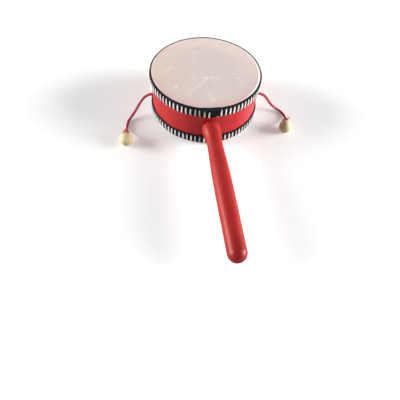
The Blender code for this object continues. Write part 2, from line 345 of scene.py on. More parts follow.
# %% [markdown]
# ## The cords
#
# Each cord leaves a hole in the hoop, falls to the floor, and lies there in a loose curve
# to its bead. It is limp, 2.6 mm thick and laid up from three strands. A plain round tube
# would show no strands, so they are made as real shape: the section has three lobes, which
# turn as they go along. The route's points are the solid model's, and a smooth curve runs
# through them.

# %% Cord routes
CORDS_FROM = 48.9  # how far the holes' mouths are from the drum's axis
HOLES_AT = 21.55  # height of the holes and of the handle
CORD, BEAD = 1.3, 6.0  # radii
CORD_IN_HOOP, CORD_IN_BEAD = 5.0, 9.0  # lengths that are glued in
CORD_ON_FLOOR = 1.05 * CORD  # height of a lying cord's middle line

# from the hole's mouth: distance to the side, distance along the handle's way, share of the
# fall still to come, share of the rise to the bead
LEFT_ROUTE = np.array([
    (3.6, 0.35, 1.00, 0.00), (8.2, 1.1, 0.90, 0.00), (12.4, 2.2, 0.66, 0.00),
    (16.2, 3.6, 0.38, 0.00), (19.8, 5.6, 0.15, 0.00), (23.0, 8.6, 0.03, 0.00),
    (25.2, 12.6, 0.00, 0.00), (26.3, 17.2, 0.00, 0.00), (26.8, 22.0, 0.00, 0.05),
    (27.0, 26.6, 0.00, 0.30), (27.1, 30.6, 0.00, 0.76),
])
RIGHT_ROUTE = np.array([
    (3.5, 0.75, 1.000, 0.00), (8.0, 1.2, 0.890, 0.00), (12.2, 1.2, 0.640, 0.00),
    (16.0, 1.0, 0.390, 0.00), (19.8, 1.0, 0.180, 0.00), (23.3, 1.8, 0.055, 0.00),
    (26.4, 4.0, 0.006, 0.00), (28.6, 7.6, 0.000, 0.00), (29.7, 12.0, 0.000, 0.02),
    (29.3, 16.4, 0.000, 0.20), (28.0, 20.2, 0.000, 0.58), (26.9, 23.0, 0.000, 0.92),
])
# each side's sign, how far its hole is turned towards the handle, and its bead
SIDES = {
    "left": dict(side=-1, turned=5.5, route=LEFT_ROUTE, bead=(27.1, 39.6), way=(0.02, 1.0)),
    "right": dict(side=1, turned=12.0, route=RIGHT_ROUTE, bead=(24.7, 30.0), way=(-0.28, 1.0)),
}


def unit(vectors):
    """Each direction divided by its own length."""
    return vectors / np.linalg.norm(vectors, axis=-1, keepdims=True)


def lengths_along(line):
    """How far each point of a line is from its start, measured along it."""
    return np.concatenate([[0], np.cumsum(np.linalg.norm(np.diff(line, axis=0), axis=1))])


def hole_place(side, turned, radius=CORDS_FROM, **_):
    """A place on the hole's middle line, at a distance from the drum's axis."""
    angle = math.radians(turned)
    return np.array([side * radius * math.cos(angle), -radius * math.sin(angle), HOLES_AT])


def bead_place(side, turned, bead, way, **_):
    """The bead's middle, and the way its bore runs, away from the drum."""
    x, y, _z = hole_place(side, turned)
    middle = np.array([x + side * bead[0], y - bead[1], BEAD])
    return middle, unit(np.array([side * way[0], -way[1], 0.0]))


def cord_line(side, turned, route, bead, way, spacing=0.25):
    """Evenly spaced points on the cord's middle line, from inside the hoop into the bead.

    A height is the floor's, plus a share of the fall from the hole, plus a share of the
    rise to the bead."""
    out, along, fall, lift = route.T
    height = CORD_ON_FLOOR + fall * (HOLES_AT - CORD_ON_FLOOR) + lift * (BEAD - CORD_ON_FLOOR)
    start = [hole_place(side, turned, CORDS_FROM - CORD_IN_HOOP), hole_place(side, turned)]
    drawn = np.stack([start[1][0] + side * out, start[1][1] - along, height], axis=1)
    middle, direction = bead_place(side, turned, bead, way)
    mouth = middle - direction * BEAD
    points = np.vstack([start, drawn, mouth, mouth + direction * CORD_IN_BEAD])
    travelled = lengths_along(points)
    fine = smooth_through(np.linspace(0, travelled[-1], 2000), travelled, points)
    length = lengths_along(fine)
    even = np.linspace(0, length[-1], round(length[-1] / spacing) + 1)
    return np.stack([np.interp(even, length, fine[:, k]) for k in range(3)], axis=1)


lines = {name: cord_line(**facts) for name, facts in SIDES.items()}
for name, line in lines.items():
    length = lengths_along(line)[-1]
    free = length - CORD_IN_HOOP - CORD_IN_BEAD
    print(f"{name} cord: {length:.1f} mm with both ends, {free:.1f} mm between hoop and bead")

# %% [markdown]
# The colour is a deep crimson, with painted shade between the strands and painted light on
# their crowns. Fine fibres slant round each strand. They are too thin for the mesh, so they
# are waves of bump that follow the strand's turn, with fuzz on them.

# %% Cord finish
def make_cord_finish():
    """Crimson strands: painted light on their crowns, painted shade in the grooves, with slanting
    fibres.
    """
    material, tree, shader = new_finish(
        "crimson_cord", 0.85, {"Sheen Weight": 0.45, "Sheen Roughness": 0.5})
    where = own_coordinates(tree)
    fibres = calculate(tree, "SINE", times(tree, carried(tree, "turn"), 9.0))
    fuzz = noise(tree, where, 2600.0, 4.0, 0.65)
    fade = noise(tree, where, 120.0, 2.0)
    colour = coats(
        tree, (0.34, 0.014, 0.034),
        # painted light on the strands' crowns and painted shade in the grooves between them
        (rescale(tree, carried(tree, "crown"), 0.0, 0.75), (0.72, 0.050, 0.090)),
        (rescale(tree, fade, 0.35, 0.75, 0.0, 0.35), (0.78, 0.10, 0.14)),
        (rescale(tree, fuzz, 0.45, 0.8, 0.0, 0.4), (0.85, 0.18, 0.22)))
    dress(tree, shader, colour, (fibres, 0.00006), (fuzz, 0.00010))
    return material


cord_finish = make_cord_finish()

# %% Cord shapes
STRANDS = 3
LAY_LENGTH = 6.4  # along which a strand goes once round
GROOVE, CROWN = 0.79, 0.21  # a groove's share of the cord's radius, and what a crown adds


def strand_crown(turn):
    """How near a place is to a strand's crown, from 0 in a groove to 1."""
    return np.abs(np.cos(turn / 2)) ** 0.8


def strand_section(around, along, radius):
    """Radius of a laid cord: lobes that turn once round in each lay length.

    Returns the radius, how near each point is to a crown, and its turn."""
    turn = STRANDS * (around - 2 * math.pi * along / LAY_LENGTH)
    crown = strand_crown(turn)
    return radius * (GROOVE + CROWN * crown), crown, turn


def rings(line, first, second, around, reach):
    """A ring round each point of a line, in the plane of two directions square to it."""
    around, reach = around[..., None], reach[..., None]
    return line[:, None] + reach * (np.cos(around) * first[:, None]
                                    + np.sin(around) * second[:, None])


def tube(line, radius, around_count, reference, section=None):
    """A tube on a line: each ring stands square to it, and starts from a fixed direction.

    The ring's first axis is the reference with its part along the line taken away."""
    heading = unit(np.gradient(line, axis=0))
    reference = np.asarray(reference, float)
    first = unit(reference - heading * (heading @ reference)[:, None])
    around, along = once_round(around_count)[None, :], lengths_along(line)[:, None]
    reach, crown, turn = section(around, along, radius) if section else (radius, 1.0, 0.0)
    reach = np.broadcast_to(reach, (len(line), around_count))
    points = rings(line, first, np.cross(heading, first), around, reach)
    return points, {"crown": crown, "turn": turn}


for name, facts in SIDES.items():
    reference = (facts["side"], 1.0, -1.0)
    points, values = closed_ends(*tube(lines[name], CORD, 24, reference, strand_section))
    mesh = grid_mesh("cord_" + name + "_laid", points, columns_close=True, values=values)
    add_piece("cord_" + name + "_laid", mesh, cord_finish, "crimson_cord",
                            "cord_" + name)

# %% [markdown]
# ## The knot by each bead
#
# A small overhand knot stops the bead on the cord, and its cut tail has frayed. A lump would
# do from afar, but close up the strand has to pass over itself. So the knot is a trefoil,
# the closed curve that an overhand knot makes, pressed flat along the cord. The tail is a
# few thin threads that bend away from it.

# %% Knots
KNOT_FROM_BEAD = 2.2  # from the bead's surface to the knot's middle
KNOT, KNOT_SWELL, KNOT_DEPTH = 1.35, 0.60, 0.95  # the trefoil's radius, its change, its depth
KNOT_CORD, THREAD = 1.02, 0.13  # radii of the pulled cord and of a loose thread
KNOT_TURNS = 5  # how often the strands turn on the way round the knot
TAIL_FROM_KNOT = 1.9  # from the knot's middle to where the threads come apart
LOWEST_THREAD = 0.2  # height that keeps the threads off the floor
SQUARE_FROM = (0.31, 0.52, -0.79)  # a direction that no thread runs in


def knot_line(middle, heading, count=160):
    """A trefoil round the cord: its radius swells three times while it goes round twice."""
    t = once_round(count)
    side = unit(np.cross(heading, (0.0, 0.0, 1.0)))
    up = np.cross(side, heading)
    swell = KNOT + KNOT_SWELL * np.cos(3 * t)
    return (middle + (swell * np.cos(2 * t))[:, None] * side
            + (swell * np.sin(2 * t))[:, None] * up
            + (KNOT_DEPTH * np.sin(3 * t))[:, None] * heading)


def closed_line_tube(line, radius, around_count):
    """A tube on a closed line. Its rings start from the direction away from the middle."""
    heading = unit(np.roll(line, -1, axis=0) - np.roll(line, 1, axis=0))
    outward = line - line.mean(axis=0)
    first = unit(outward - heading * np.einsum("ij,ij->i", outward, heading)[:, None])
    around = once_round(around_count)[None, :]
    along = np.arange(len(line))[:, None] / len(line)
    turn = STRANDS * (around - 2 * math.pi * KNOT_TURNS * along)
    crown = strand_crown(turn)
    points = rings(line, first, np.cross(heading, first), around, radius * (0.84 + 0.18 * crown))
    return points, {"crown": crown, "turn": turn}


def frayed_threads(root, heading, seed, count=9, reach=3.6):
    """Thin threads that leave one place in a fan, each on its own bent line."""
    rng = np.random.default_rng(seed)
    share = np.linspace(0, 1, 14)[:, None]
    threads = []
    for _ in range(count):
        way = unit(heading * 0.4 + rng.normal(0, 0.55, 3) + np.array([0, 0, 0.35]))
        curl = rng.normal(0, 0.9, 3)
        length = reach * rng.uniform(0.6, 1.1)
        line = root + share * way * length + share**2 * curl
        line[:, 2] = np.maximum(line[:, 2], LOWEST_THREAD)
        threads.append(closed_ends(*tube(line, THREAD, 6, SQUARE_FROM))[0])
    return np.stack(threads)


for seed, (name, facts) in enumerate(SIDES.items()):
    middle, direction = bead_place(**facts)
    place = middle - direction * (BEAD + KNOT_FROM_BEAD)
    points, values = closed_line_tube(knot_line(place, direction), KNOT_CORD, 20)
    mesh = grid_mesh("knot_" + name, points, True, True, values)
    outward = unit(np.array([facts["side"] * 1.0, 0.25, 0.5]))
    threads = frayed_threads(place + outward * TAIL_FROM_KNOT, outward, 5 + seed)
    fan = grid_mesh("tail_" + name, threads, columns_close=True,
                    values={"crown": 1.0, "turn": 0.0})
    add_piece("knot_" + name, mesh, cord_finish, "crimson_cord")
    add_piece("tail_" + name, fan, cord_finish, "crimson_cord")

# %% [markdown]
# ## The beads
#
# A bead is a turned ball of pale wood with a bore that ends inside it and a softened mouth.
# A hole cut out of a sphere would have a sharp, uneven edge. One profile, carried round the
# bore's line, gives the ball, the lip and the bore.

# %% Bead shapes
BORE, BORE_DEPTH = 1.45, 9.3  # radius, and depth from the ball's surface
LIP = 0.35  # radius of the softened mouth


def turned_round(profile, foot, axis, around_count):
    """A profile of (distance along the axis, distance from it) carried round the axis."""
    first = unit(np.cross(axis, (0.0, 0.0, 1.0)))
    second = np.cross(axis, first)
    around = once_round(around_count)[None, :, None]
    along, off = profile[:, 0][:, None, None], profile[:, 1][:, None, None]
    return foot + along * axis + off * (np.cos(around) * first + np.sin(around) * second)


def bead_profile():
    """From the far pole over the ball to the mouth, round its lip, and in to the bore's end."""
    edge = math.asin((BORE + LIP) / BEAD)
    ball = np.linspace(math.pi, edge, 60)
    outside = np.stack([-BEAD * np.cos(ball), BEAD * np.sin(ball)], axis=1)
    turn = np.linspace(0, math.pi / 2, 6)[1:]
    mouth, deepest = -BEAD * math.cos(edge), BORE_DEPTH - BEAD
    lip = np.stack([mouth + LIP * (1 - np.cos(turn)) * 0.6,
                    BORE + LIP * (1 - np.sin(turn))], axis=1)
    down = np.linspace(mouth + LIP * 0.6, deepest, 12)[1:]
    inside = np.stack([down, np.full(len(down), BORE)], axis=1)
    return np.vstack([outside, lip, inside, (deepest, 0.0)])


def make_bead_finish(name, middle, axis):
    """Pale wood, with grain lines that run with the bore, and faint darker pores."""
    material, tree, shader = new_finish(name, 0.62, {"Specular IOR Level": 0.35})
    turn = (0.0, 0.0, math.atan2(axis[1], axis[0]))
    centred = mapped(tree, own_coordinates(tree), "TEXTURE",
                     location=tuple(middle * MM), rotation=turn)
    grain = mapped(tree, centred, scale=(0.12, 1.0, 1.0))
    fine = noise(tree, grain, 1900.0, 5.0, 0.6)
    broad = noise(tree, grain, 420.0, 2.0, 0.5, 0.4)
    pores = rescale(tree, noise(tree, grain, 3400.0, 2.0), 0.62, 0.72)
    colour = coats(
        tree, (0.84, 0.74, 0.46),
        (rescale(tree, broad, 0.3, 0.7), (0.72, 0.58, 0.34)),
        (rescale(tree, fine, 0.45, 0.75, 0.0, 0.5), (0.62, 0.46, 0.25)),
        (times(tree, pores, 0.35), (0.40, 0.24, 0.11)))
    dress(tree, shader, colour, (fine, 0.00005), (broad, 0.00006))
    return material


for name, facts in SIDES.items():
    middle, direction = bead_place(**facts)
    points = turned_round(bead_profile(), middle, direction, 72)
    finish = make_bead_finish("plain_bead_wood_" + name, middle, direction)
    mesh = grid_mesh("bead_" + name + "_turned", points, columns_close=True)
    add_piece("bead_" + name + "_turned", mesh, finish, "plain_bead_wood",
                            "bead_" + name)

# %% [markdown]
# The cords' lengths are printed now that what goes with each is made. The length is from end
# to end, with the ends that are glued into the hoop and into the bead.

for name, line in lines.items():
    length = float(lengths_along(line)[-1]) * MM
    print(f"{name} cord declared: {1000 * length:.1f} mm")

# %% [markdown]
# ## The hoop
#
# The hoop is a ring of wood, painted a satin red. Its profile goes round the drum. Holes
# could be cut out of the finished ring, but here the grid is finer where the cords leave
# it, and the surface is drawn in there, so the edges are smooth and the ring stays in one
# piece. The paint lies over slight waves in the wood.

# %% Hoop shape
HOOP = 49.5  # outside radius
HOOP_FOOT, HOOP_TOP = 1.1, 40.9
WALL, EDGE = 5.6, 0.9  # thickness of the wood, and radius of its outer edges
HOLE_RADIUS, HOLE_DEPTH = 1.6, 4.4
HOLE_REACH, HOLE_STEP = 2.7, 0.18  # half width of the finer grid at a hole, and its step
WOOD_WAVES = 0.05  # how deep the slow waves in the wood are
hole_angles = np.radians([180 + SIDES["left"]["turned"], -SIDES["right"]["turned"]])


def finer_near(start, end, coarse, centres, reach, fine):
    """Places from start to end, a coarse step apart, and a fine step apart near the centres."""
    places = [np.arange(start, end, coarse)]
    places += [np.arange(c - reach, c + reach, fine) for c in centres]
    places = np.unique(np.round(np.concatenate(places), 6))
    near = np.min([np.abs(places - c) for c in centres], axis=0) < reach
    on_coarse = np.isclose(np.mod(places - start + 1e-7, coarse), 0, atol=1e-5)
    return places[near | on_coarse]


def hoop_surface():
    """Points round the hoop's wall: outside from top to foot, then inside back up.

    The outside radius has slow waves, and falls by a hole's depth inside each hole."""
    angles = finer_near(-math.pi / 2, 1.5 * math.pi, 2 * math.pi / 240, hole_angles,
                        HOLE_REACH / HOOP, HOLE_STEP / HOOP)
    heights = finer_near(HOOP_FOOT + EDGE, HOOP_TOP - EDGE, 1.0, [HOLES_AT],
                         HOLE_REACH, HOLE_STEP)[::-1]
    corner = np.linspace(0, math.pi / 2, 6)
    upper = np.stack([HOOP - EDGE + EDGE * np.sin(corner),
                      HOOP_TOP - EDGE + EDGE * np.cos(corner)], axis=1)
    lower = np.stack([upper[::-1, 0], HOOP_FOOT + HOOP_TOP - upper[::-1, 1]], axis=1)
    outside = np.stack([np.full(len(heights), HOOP), heights], axis=1)[1:-1]
    inside = np.array([(HOOP - WALL, HOOP_FOOT), (HOOP - WALL, HOOP_TOP)])
    profile = np.vstack([upper, outside, lower, inside])
    radius = np.broadcast_to(profile[:, :1], (len(profile), len(angles))).copy()
    angle, height = angles[None, :], profile[:, 1:]
    side = profile[:, :1] > HOOP - 0.01
    radius += np.where(side, WOOD_WAVES * slow_waves(angle, 3) - WOOD_WAVES, 0)
    for hole in hole_angles:
        across = HOOP * (np.mod(angle - hole + math.pi, 2 * math.pi) - math.pi)
        off = np.hypot(across, height - HOLES_AT)
        drilled = 1 - step(off, HOLE_RADIUS - HOLE_STEP, HOLE_RADIUS + 0.14)
        radius -= np.where(side, HOLE_DEPTH * drilled, 0)
    return round_the_drum(radius, angle, height)


# %% [markdown]
# The paint is a coral red. Painted shade makes it a little darker towards the braids, and
# painted light makes it lighter and rosier on the left and paler on the right, where the side
# lamps fall. The wood's grain shows faintly through it.
# At the holes the drill has broken the paint, so pale wood shows round them, most above the
# left one.

# %% Hoop finish
def ellipse_mask(tree, where, middle, radii, turn=(0.0, 0.0, 0.0), soft=0.5):
    """1 inside an ellipsoid and 0 outside, with a soft edge: the distance from its middle,
    measured in its radii."""
    near = mapped(tree, where, "TEXTURE", location=middle, rotation=turn, scale=radii)
    distance = calculate_vector(tree, "LENGTH", near)
    return rescale(tree, distance, 1.0 - soft, 1.0 + soft, 1.0, 0.0)


# middle and radii of the bare wood at the left hole and at the right one, in metres
CHIPS = (((-0.0490, -0.0062, 0.0285), (0.0028, 0.0020, 0.0042)),
         ((0.0484, -0.0100, 0.0224), (0.0030, 0.0020, 0.0019)))


def make_hoop_finish():
    """Satin red paint over wood, with bare wood where it has chipped at the holes."""
    material, tree, shader = new_finish("red_painted_hoop", 0.42, {"Specular IOR Level": 0.36})
    where = own_coordinates(tree)
    grain = noise(tree, mapped(tree, where, scale=(0.25, 0.25, 1.0)), 1500.0, 4.0, 0.6, 0.3)
    mottle = noise(tree, where, 55.0)
    orange_peel = noise(tree, where, 900.0, 2.0, 0.4)
    side, height = part_of(tree, where, "X"), part_of(tree, where, "Z")
    from_middle = calculate(tree, "ABSOLUTE", calculate(tree, "SUBTRACT", height, HOLES_AT * MM))
    paint = coats(
        tree, (0.43, 0.019, 0.023),
        (rescale(tree, mottle, 0.3, 0.7), (0.47, 0.024, 0.027)),
        (rescale(tree, grain, 0.5, 0.8, 0.0, 0.16), (0.36, 0.013, 0.020)),
        # painted shade: darker next to the braids' edges
        (times(tree, rescale(tree, from_middle, 0.0090, 0.0115), 0.25), (0.33, 0.010, 0.020)),
        # painted light: lighter and rosier on the left, paler on the right, where the side lamps
        # fall and reflect
        (rescale(tree, side, -0.015, -0.042), (0.45, 0.029, 0.029)),
        (rescale(tree, side, 0.020, 0.042), (0.46, 0.060, 0.067)))
    jitter = noise(tree, where, 700.0, output="Color")
    jitter = calculate_vector(tree, "MULTIPLY", jitter, (0.0009, 0.0009, 0.0018))
    ragged = calculate_vector(tree, "ADD", where, jitter)
    left, right = (ellipse_mask(tree, ragged, *chip, soft=0.08) for chip in CHIPS)
    chipped = calculate(tree, "MAXIMUM", left, right)
    cover = calculate(tree, "SUBTRACT", 1.0, chipped)
    wood = coats(tree, (0.80, 0.66, 0.46), (grain, (0.64, 0.47, 0.28)))
    dress(tree, shader, coats(tree, paint, (chipped, wood)),
          (grain, 0.00003), (orange_peel, 0.00003), (cover, 0.00010),
          roughness=rescale(tree, mottle, 0.3, 0.7, 0.36, 0.47))
    return material


hoop_mesh = grid_mesh("hoop_painted", hoop_surface(), True, True)
hoop_mesh.set_sharp_from_angle(angle=math.radians(50))
add_piece("hoop_painted", hoop_mesh, make_hoop_finish(), "red_painted_hoop", "hoop")

# %% [markdown]
# ## The skins
#
# Each skin was stretched wet over the hoop and shrank as it dried. It is flat, with a
# softly rounded shoulder, and its turned edge goes down under the braid. The hide isn't
# even: it is beige-grey in the middle and pinker towards the rim, with pale scars and
# scratches. Noise alone would strew scars all over, so they are placed one by one, as thin
# ellipses.

# %% Skin shape
HEAD, DEPTH = 49.85, 42.0  # radius over the turned edge, and from one face to the other
SHOULDER, HIDE = 2.2, 0.35  # radius of the shoulder, and thickness
SKIN_WAVES = 0.06  # how deep the slow waves are


def skin_surface(face_up):
    """Points from the middle out over the shoulder, down the turned edge, and back inside.

    The height has slow waves, strongest half way out, that die away at the rim."""
    angles = once_round(288)[None, :]
    flat = np.linspace(0, 1, 60) ** 0.8 * (HEAD - SHOULDER)
    top = np.stack([flat, 0 * flat], axis=1)
    bend = np.linspace(0, math.pi / 2, 12)[1:]
    turned = np.stack([HEAD - SHOULDER + SHOULDER * np.sin(bend),
                       SHOULDER * np.cos(bend) - SHOULDER], axis=1)
    edge = np.array([(HEAD, -4.0), (HEAD, -5.4), (HEAD - 0.1, -5.5), (HEAD - 0.2, -5.5),
                     (HEAD - HIDE, -5.4)])
    inner = np.array([(HEAD - HIDE, -2.4), (HEAD - 0.9, -1.3), (HEAD - 2.2, -HIDE), (0.0, -HIDE)])
    profile = np.vstack([top, turned, edge, inner])
    radius, height = profile[:, :1] + 0 * angles, profile[:, 1:] + 0 * angles
    share = profile[:, :1] / HEAD
    on_top = np.arange(len(profile))[:, None] < len(top)
    wave = np.where(on_top, 4 * share * np.clip(1 - share, 0, 1), 0)
    height = height - SKIN_WAVES * wave * (1 + slow_waves(angles, 11, 1, 6))
    return round_the_drum(radius, angles, DEPTH + height if face_up else -height)


# %% Skin finish
# middle x and y, half length, half width in mm, turn in degrees, strength
SCARS = (
    (-1.2, -11.0, 2.2, 1.6, -4, 0.95), (2.9, -11.3, 1.7, 1.3, -4, 0.85),
    (-10.4, -21.4, 12.0, 0.9, 37, 0.50), (-6.6, -17.1, 7.5, 0.9, 50, 0.45),
    (-10.9, -8.4, 8.5, 0.8, -10, 0.35), (-12.6, -11.5, 5.0, 0.9, 15, 0.40),
    (-32.9, 3.2, 7.4, 0.9, 48, 0.45), (-36.1, 0.2, 1.8, 1.2, -36, 0.50),
    (-28.8, -21.0, 2.2, 1.5, 5, 0.60), (27.0, -12.9, 1.7, 1.2, -4, 0.55),
    (28.4, -17.8, 4.6, 0.7, -74, 0.40), (-0.8, -32.3, 7.0, 0.8, -69, 0.40),
    (1.3, -39.4, 2.0, 1.4, -9, 0.60), (7.4, -14.8, 3.8, 0.9, 36, 0.45),
    (8.8, -11.2, 3.2, 0.7, 53, 0.40), (-9.0, 17.4, 11.5, 0.6, 84, 0.25),
    (21.9, 10.2, 5.4, 0.7, 33, 0.25), (24.0, -6.8, 2.8, 0.9, 2, 0.35),
)
SCAR_SHARE = 0.8  # of the half length, because the soft edge makes up the rest


def scar_marks(tree, flat, scars):
    """The strongest of all the scars at a place, each a soft ellipse times its strength."""
    mark = 0.0
    for x, y, long, wide, turn, strength in scars:
        soft = ellipse_mask(tree, flat, (x * MM, y * MM, 0.0),
                            (SCAR_SHARE * long * MM, wide * MM, 1.0),
                            (0.0, 0.0, math.radians(turn)), soft=0.95)
        mark = calculate(tree, "MAXIMUM", mark, times(tree, soft, strength))
    return mark


def make_skin_finish(name, scars, mirror=1.0):
    """Stretched hide: a soft change of colour from the middle to the rim and from side to
    side, painted shade along the front of the rim, a painted highlight on the rim's shoulder
    on the right, fine mottling, pores, and pale scars."""
    material, tree, shader = new_finish(name, 0.50, {
        "Specular IOR Level": 0.4, "Sheen Weight": 0.08, "Subsurface Weight": 0.12,
        "Subsurface Radius": (0.004, 0.002, 0.001), "Subsurface Scale": 1.0})
    where = mapped(tree, own_coordinates(tree), scale=(mirror, 1.0, 1.0))
    flat = calculate_vector(tree, "MULTIPLY", where, (1.0, 1.0, 0.0))
    distance = calculate_vector(tree, "LENGTH", flat)
    side, along = part_of(tree, where, "X"), part_of(tree, where, "Y")
    drift = noise(tree, where, 34.0, 3.0, 0.55)
    cloud = noise(tree, where, 130.0, 4.0, 0.6)
    fine = noise(tree, where, 1400.0, 4.0, 0.6)
    pores = put(tree, "TexVoronoi", {"Vector": where, "Scale": 1500.0},
                feature="F1").outputs["Distance"]
    wander = calculate(tree, "SUBTRACT", times(tree, drift, 0.030), 0.015)
    at_front = rescale(tree, along, 0.010, -0.036)
    wandering = calculate(tree, "ADD", distance, wander)
    inwards = calculate(tree, "SUBTRACT", wandering, times(tree, at_front, 0.013))
    near_rim = calculate(tree, "ADD", distance, times(tree, wander, 0.25))
    # painted shade along the front of the rim, darker and pinker
    front_rim_painted_shade = times(tree, rescale(tree, near_rim, 0.036, 0.050), at_front)
    smudge = ellipse_mask(tree, flat, (-0.0041, 0.0317, 0.0), (0.0030, 0.0016, 1.0), soft=0.9)
    # painted highlight: a pale line on the rim's shoulder on the right, where the right lamp
    # catches it
    right_rim_painted_highlight = times(tree, rescale(tree, distance, 0.0470, 0.0482),
                       rescale(tree, side, 0.022, 0.042, 0.1, 0.9))
    marks = times(tree, scar_marks(tree, flat, scars), rescale(tree, cloud, 0.25, 0.6, 0.35, 1.0))
    colour = coats(
        tree, (0.683, 0.556, 0.517),
        (rescale(tree, inwards, 0.021, 0.053), (0.868, 0.672, 0.614)),
        (rescale(tree, cloud, 0.35, 0.7, 0.0, 0.30), (0.765, 0.645, 0.59)),
        (rescale(tree, drift, 0.55, 0.75, 0.0, 0.35), (0.69, 0.55, 0.51)),
        (rescale(tree, side, -0.004, -0.044, 0.0, 0.8), (0.715, 0.555, 0.475)),
        (front_rim_painted_shade, (0.70, 0.455, 0.44)),
        (times(tree, smudge, 0.4), (0.52, 0.40, 0.42)),
        (right_rim_painted_highlight, (0.92, 0.88, 0.85)),
        (times(tree, marks, 0.85), (0.90, 0.85, 0.77)))
    dress(tree, shader, colour, (fine, 0.00004), (pores, 0.00003), (marks, 0.00006),
          roughness=rescale(tree, cloud, 0.3, 0.7, 0.44, 0.58))
    return material


# the lower skin has other scars, from those of the upper one, turned and fainter
under_scars = tuple((-y, x, a, b, turn + 40, 0.7 * s) for x, y, a, b, turn, s in SCARS[2:14])
for name, face_up, scars in (("skin_top", True, SCARS), ("skin_bottom", False, under_scars)):
    finish = make_skin_finish("drum_skin_" + name[5:], scars)
    mesh = grid_mesh(name + "_stretched", skin_surface(face_up), columns_close=True)
    add_piece(name + "_stretched", mesh, finish, "drum_skin", name)

# %% [markdown]
# At the left, a bit of the upper skin's edge has come out under the braid. It has dried
# stiff and curls away from the hoop.

# %% Curled edge of the upper skin
CURL_AT, CURL_TOP = 187.4, 33.6  # its angle, and the height of its upper edge
CURL_LENGTH, CURL_OUT = 6.4, 1.9  # how far it goes down, and away from the hoop


def curl_surface():
    """Points of a thin curved flap: out of the braid, down, and away from the hoop.

    Its outline narrows downwards and ends raggedly."""
    share = np.linspace(0, 1, 14)[:, None]
    across = np.linspace(-1, 1, 15)[None, :]
    half = 4.2 - 1.4 * share + 0.35 * slow_waves(9 * share, 5)
    angle = np.radians(CURL_AT + half * across)
    height = CURL_TOP - (CURL_LENGTH + 0.7 * slow_waves(4 * across, 8)) * share
    radius = 49.92 + CURL_OUT * share**1.6 - 0.45 * share * across**2
    thick = HIDE / 2 * np.sin(math.pi * share) ** 0.3
    outside = round_the_drum(radius + thick, angle, height)
    inside = round_the_drum(radius - thick, angle, height)
    return np.concatenate([outside, inside[:, ::-1]], axis=1)


curl_mesh = grid_mesh("skin_top_curl", curl_surface(), columns_close=True)
curl_finish = make_skin_finish("drum_skin_curl", SCARS[:1], mirror=-1.0)
add_piece("skin_top_curl", curl_mesh, curl_finish, "drum_skin")

# %% [markdown]
# ## The braids
#
# A braid is a woven band of black thread with a corded black border along its upper edge
# and thick white stitches across the rest. Stripes painted on a smooth band would look flat
# from the side, so the border's ribs and every stitch are real shape. The band bulges
# outwards in the middle, and its lower edge is drawn in to the hoop. That bulge makes the
# stitches look bent to the left on the left of the drum and to the right on the right. The
# ends of each braid lap over each other at the front. There the band stands higher, and its
# cut end is bare black.

# %% Braid layout
# foot: height of the lower edge
# first, last: angles of the stitches on either side of the lap, with 76 spaces between them
# lapped, stub: angles of the stitches on the raised end, and of the short one
# hem: how far above the lower edge the stitches end
# lap: the angles where the lap starts, where it folds and where its cut end is
# over, lean: where the border's outline ends on the skin or hoop, and how far it leans over
SPACES = 76
BRAIDS = {
    "tape_top": dict(
        foot=32.8, first=277.9, last=256.9, lapped=(261.6, 266.1), stub=274.0, hem=0.05,
        lap=(259.3, 270.4, 276.0), over=((9.02, 49.55), (8.72, 49.08)), lean=0.6),
    "tape_bottom": dict(
        foot=1.3, first=280.6, last=258.3, lapped=(262.8, 267.2), stub=None, hem=0.65,
        lap=(260.6, 270.6, 278.4), over=((9.02, 49.78), (8.85, 49.56)), lean=0.0),
}

# height above the band's lower edge, and the radius there
BAND = ((0.0, 49.90), (0.3, 50.20), (0.8, 50.42), (1.6, 50.60), (3.0, 50.74), (4.6, 50.78),
        (6.4, 50.72), (8.1, 50.55))
# the border's outline from the band upwards: height and radius
BORDER = ((8.05, 50.52), (8.20, 50.74), (8.45, 50.86), (8.75, 50.78), (8.98, 50.48),
          (9.08, 50.10))
BORDER_MIDDLE = (8.45, 49.95)
# angle and size: the border is fullest at the front and thin at the back left, where it was
# pulled tight
BORDER_SIZES = ((0, 0.64), (60, 0.74), (95, 0.80), (130, 0.52), (155, 0.62), (185, 0.76),
                (210, 0.92), (250, 1.04), (285, 1.0), (315, 0.78), (345, 0.64), (360, 0.64))


LAP_HEIGHT, CUT_HEIGHT = 0.75, 0.45  # how far the lap and its cut end stand up


def lap_rise(angle, lap):
    """How far the braid stands up on the lap: its own thickness, then less on the cut end."""
    degrees = np.mod(np.degrees(angle), 360)
    start, fold, end = lap
    full = step(degrees, start - 0.6, start + 0.5) * (1 - step(degrees, fold - 0.3, fold + 0.5))
    cut = step(degrees, fold - 0.3, fold + 0.5) * (1 - step(degrees, end - 0.3, end + 0.5))
    return LAP_HEIGHT * full + CUT_HEIGHT * cut


def band_radius(height):
    """Outside radius of the plain band at a height above its lower edge."""
    return smooth_through(height, *zip(*BAND))


# %% Braid band shape
# how many there are to each stitch, the height over which they slant by one, and their depth:
# as a share of the border's size for its ribs, and in millimetres for the band's fine ones
RIBS, RIB_SLANT, RIB_DEPTH = 2, 1.8, 0.13
FINE_RIBS, FINE_SLANT, FINE_DEPTH = 4, 2.2, 0.06
TEETH = 0.20  # how far the lower edge rises between two stitches


